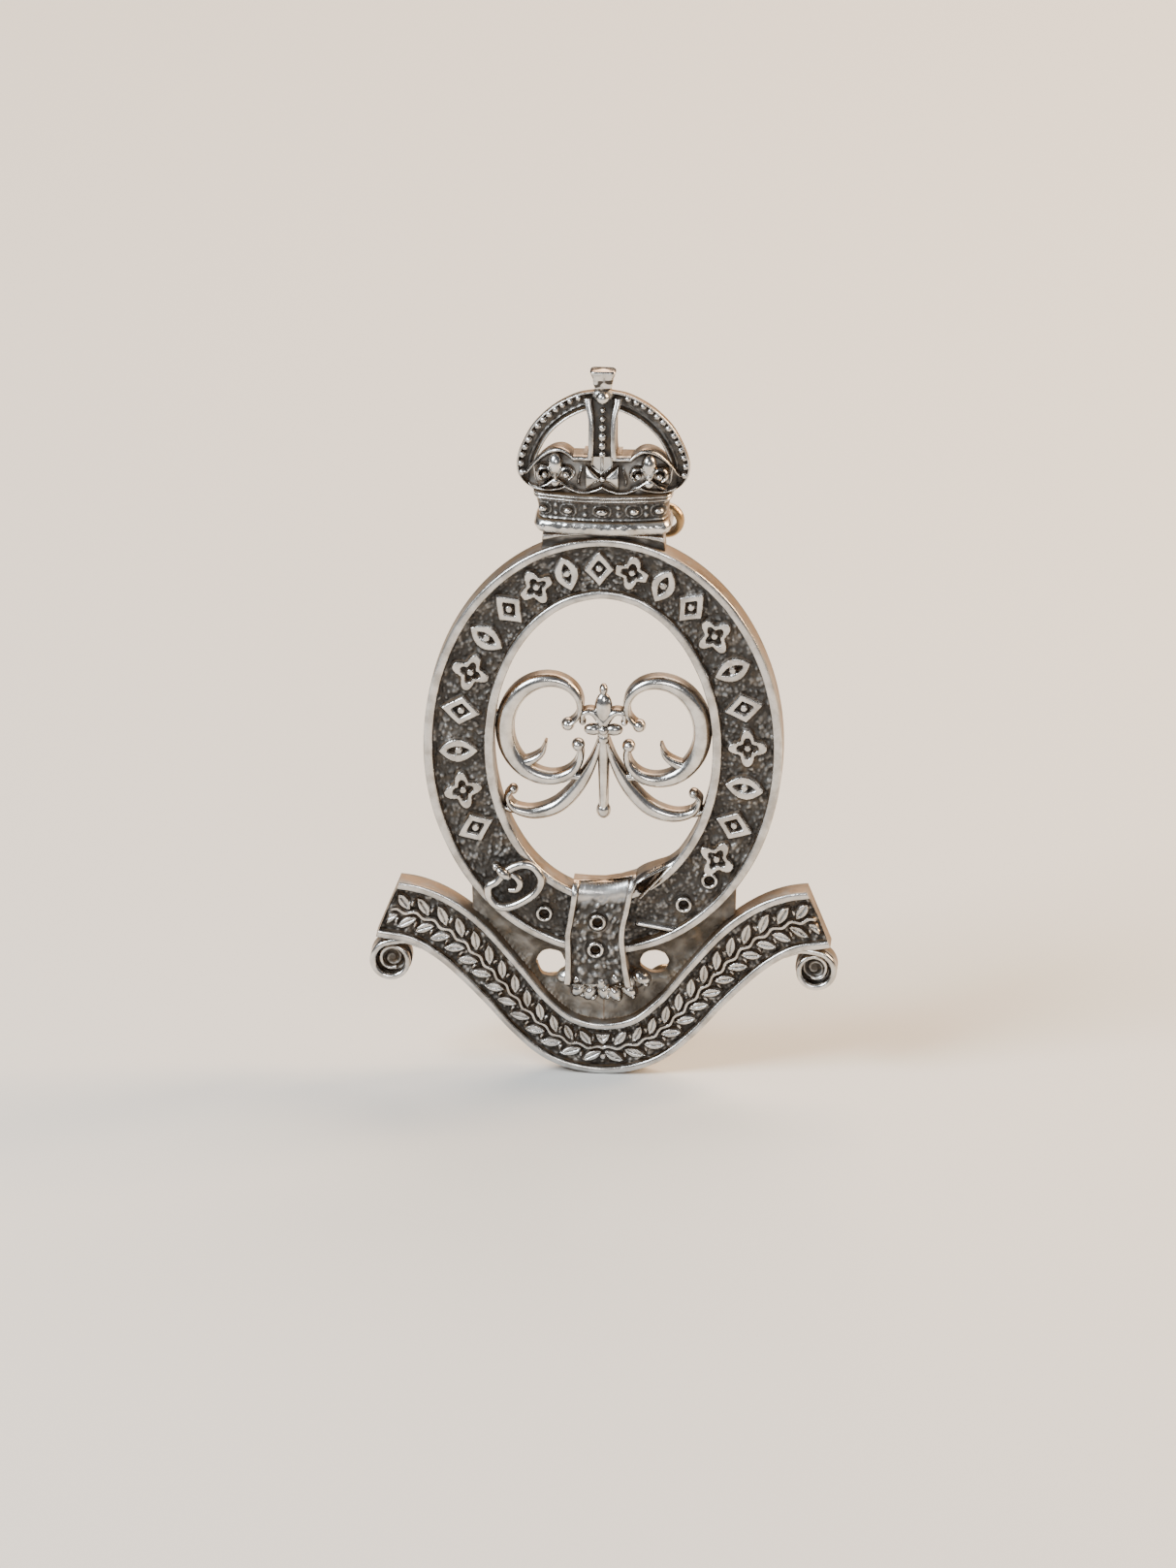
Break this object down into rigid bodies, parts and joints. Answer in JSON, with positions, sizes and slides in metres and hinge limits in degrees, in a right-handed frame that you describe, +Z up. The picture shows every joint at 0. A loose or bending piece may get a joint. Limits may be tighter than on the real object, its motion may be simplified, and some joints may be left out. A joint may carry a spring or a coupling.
{
  "type": "cap badge",
  "caption": "Pierced silver cap badge: a crown over a buckled oval strap with scrollwork in its open centre and a curved ribbon banner below, held by lugs and split pins.",
  "frame": {"origin": "centre of the oval strap, on the badge's flat back plane that rests against the cap", "axes": "+Z up toward the crown's finial, -Y out of the decorated front, +Y out of the back toward the lugs and pins, +X to the viewer's right when facing the front"},
  "size_m": [0.032, 0.0075, 0.051],
  "materials": {
    "aged_silver": "worn silver plate on nickel alloy, polished on the high edges",
    "aged_silver_dark": "worn silver with dark tarnish in the sunk stippled fields",
    "pin_brass": "dull drawn brass wire"
  },
  "bodies": {
    "badge": {"banner_curl_left": "aged_silver", "banner_curl_right": "aged_silver", "banner_ribbon": "aged_silver_dark", "buckle_frame": "aged_silver", "buckle_tongue": "aged_silver", "circlet_jewel_1": "aged_silver", "circlet_jewel_2": "aged_silver", "circlet_jewel_3": "aged_silver", "circlet_jewel_4": "aged_silver", "circlet_jewel_5": "aged_silver", "crown_arch_front": "aged_silver", "crown_arch_left": "aged_silver", "crown_arch_right": "aged_silver", "crown_cap_left": "aged_silver", "crown_cap_right": "aged_silver", "crown_centre_ornament": "aged_silver", "crown_circlet": "aged_silver_dark", "crown_collar": "aged_silver_dark", "crown_finial": "aged_silver", "crown_leaf_left": "aged_silver", "crown_leaf_right": "aged_silver", "crown_moulding": "aged_silver", "crown_orb": "aged_silver", "crown_roll": "aged_silver", "eyelet_strap_1": "aged_silver", "eyelet_strap_2": "aged_silver", "eyelet_strap_3": "aged_silver", "eyelet_tab_1": "aged_silver", "eyelet_tab_2": "aged_silver", "scroll_knot": "aged_silver", "scroll_left": "aged_silver", "scroll_right": "aged_silver", "strap_belt": "aged_silver_dark", "strap_end_tab": "aged_silver_dark", "strap_fold": "aged_silver", "strap_web": "aged_silver_dark", "tab_foliage": "aged_silver", "tendril_left": "aged_silver", "tendril_right": "aged_silver", "lug_top": "pin_brass", "lug_bottom": "pin_brass"},
    "top_pin": {"split_pin_top": "pin_brass"},
    "bottom_pin": {"split_pin_bottom": "pin_brass"}
  },
  "joints": [
    {"name": "top_pin_slide", "type": "slide", "parent": "badge", "child": "top_pin", "axis": [1, 0, 0], "range_m": [0, 0.0065]},
    {"name": "bottom_pin_slide", "type": "slide", "parent": "badge", "child": "bottom_pin", "axis": [1, 0, 0], "range_m": [0, 0.0065]}
  ]
}
